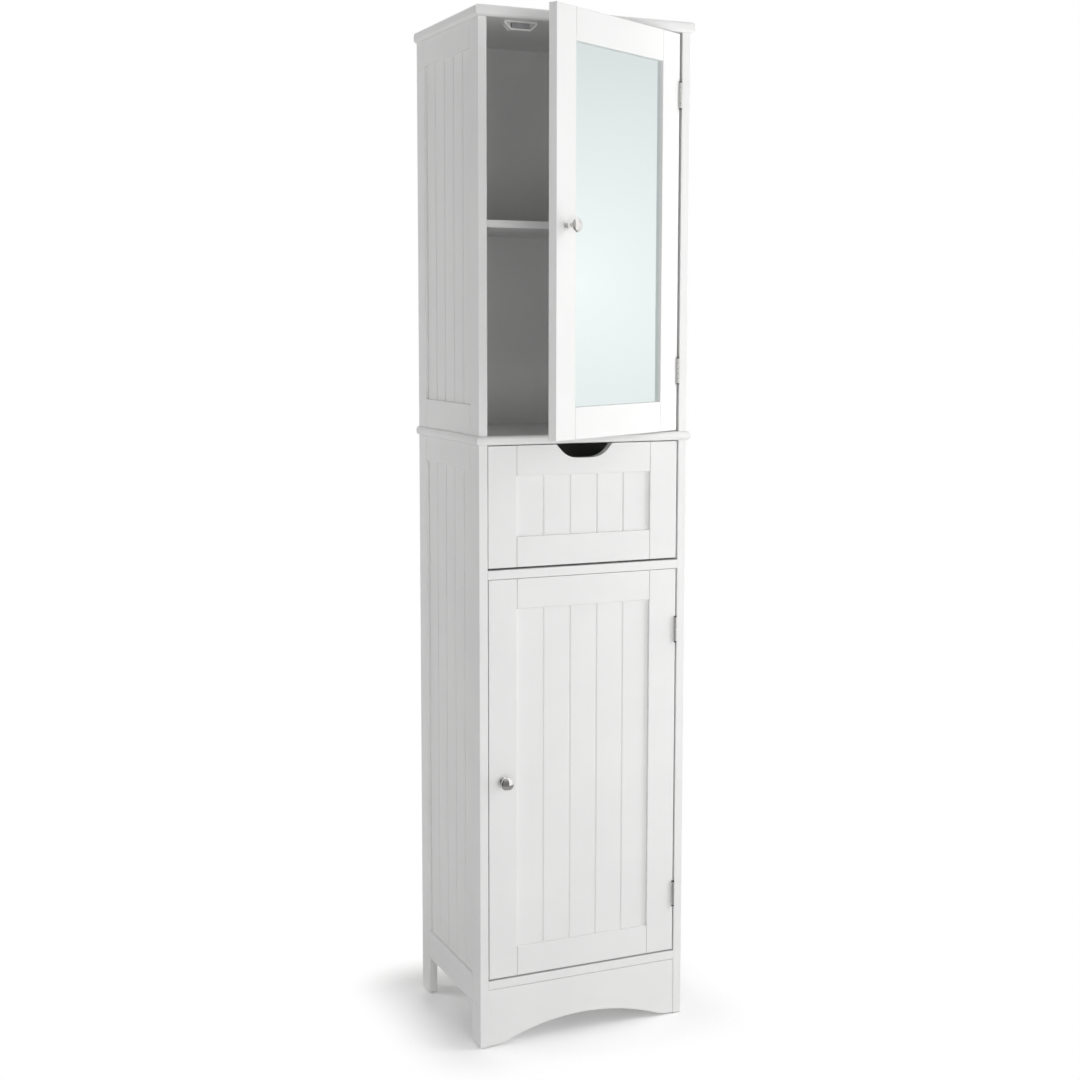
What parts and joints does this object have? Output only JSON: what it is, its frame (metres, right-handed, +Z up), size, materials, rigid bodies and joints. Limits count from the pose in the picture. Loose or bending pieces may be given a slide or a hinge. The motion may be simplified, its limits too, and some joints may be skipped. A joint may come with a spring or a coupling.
{
  "type": "column cabinet",
  "caption": "White painted bathroom column cabinet on legs, with a framed mirror door above, and a drawer with a finger scoop and a grooved panel door below.",
  "frame": {"origin": "on the floor, at the middle of the four foot glides, under the middle of the cabinet's body", "axes": "+Z up; -Y is the front with the doors and the drawer; +X is the hinge side, right as seen from the front"},
  "size_m": [0.386, 0.4767, 1.7],
  "materials": {
    "dark_magnet": "ferrite and steel poles",
    "dark_steel": "oiled steel",
    "mirror_glass": "silvered float glass",
    "nickel_steel": "nickel plated steel",
    "polished_chrome": "polished plating",
    "white_hardboard": "white faced thin board",
    "white_paint": "satin white paint on fibreboard",
    "white_plastic": "moulded, slightly matt",
    "zinc_steel": "zinc plated steel"
  },
  "bodies": {
    "cabinet": {"bottom_panel": "white_paint", "cabinet_screws": "zinc_steel", "catch_housings": "white_plastic", "catch_magnets": "dark_magnet", "divider_panel": "white_paint", "drawer_runners": "zinc_steel", "foot_glides": "white_plastic", "front_apron": "white_paint", "hinge_fixed_leaves": "nickel_steel", "hinge_pins": "dark_steel", "lower_back_panel": "white_hardboard", "lower_left_side_bead_panel": "white_paint", "lower_left_side_front_stile": "white_paint", "lower_left_side_rails": "white_paint", "lower_left_side_rear_stile": "white_paint", "lower_right_side_bead_panel": "white_paint", "lower_right_side_front_stile": "white_paint", "lower_right_side_rails": "white_paint", "lower_right_side_rear_stile": "white_paint", "lower_shelf": "white_paint", "shelf_pins": "zinc_steel", "top_panel": "white_paint", "upper_back_panel": "white_hardboard", "upper_left_side_bead_panel": "white_paint", "upper_left_side_front_stile": "white_paint", "upper_left_side_rails": "white_paint", "upper_left_side_rear_stile": "white_paint", "upper_right_side_bead_panel": "white_paint", "upper_right_side_front_stile": "white_paint", "upper_right_side_rails": "white_paint", "upper_right_side_rear_stile": "white_paint", "upper_shelf": "white_paint", "waist_panel": "white_paint"},
    "upper_door": {"upper_door_bottom_rail": "white_paint", "upper_door_free_stile": "white_paint", "upper_door_hinge_leaves": "nickel_steel", "upper_door_hinge_stile": "white_paint", "upper_door_knob": "polished_chrome", "upper_door_mirror": "mirror_glass", "upper_door_mirror_backing": "white_paint", "upper_door_screws": "zinc_steel", "upper_door_strike_plate": "zinc_steel", "upper_door_top_rail": "white_paint"},
    "lower_door": {"lower_door_bead_panel": "white_paint", "lower_door_bottom_rail": "white_paint", "lower_door_free_stile": "white_paint", "lower_door_hinge_leaves": "nickel_steel", "lower_door_hinge_stile": "white_paint", "lower_door_knob": "polished_chrome", "lower_door_screws": "zinc_steel", "lower_door_strike_plate": "zinc_steel", "lower_door_top_rail": "white_paint"},
    "drawer": {"drawer_back": "white_paint", "drawer_bead_panel": "white_paint", "drawer_bottom": "white_hardboard", "drawer_bottom_rail": "white_paint", "drawer_left_stile": "white_paint", "drawer_right_stile": "white_paint", "drawer_sides": "white_paint", "drawer_top_rail": "white_paint"}
  },
  "joints": [
    {"name": "upper_door_swing", "type": "hinge", "parent": "cabinet", "child": "upper_door", "pos_m": [0.169, -0.1499, 1.3535], "axis": [0, 0, 1], "range_deg": [-30, 135]},
    {"name": "lower_door_swing", "type": "hinge", "parent": "cabinet", "child": "lower_door", "pos_m": [0.169, -0.1499, 0.453], "axis": [0, 0, 1], "range_deg": [0, 165]},
    {"name": "drawer_slide", "type": "slide", "parent": "cabinet", "child": "drawer", "axis": [0, -1, 0], "range_m": [0, 0.19]}
  ]
}
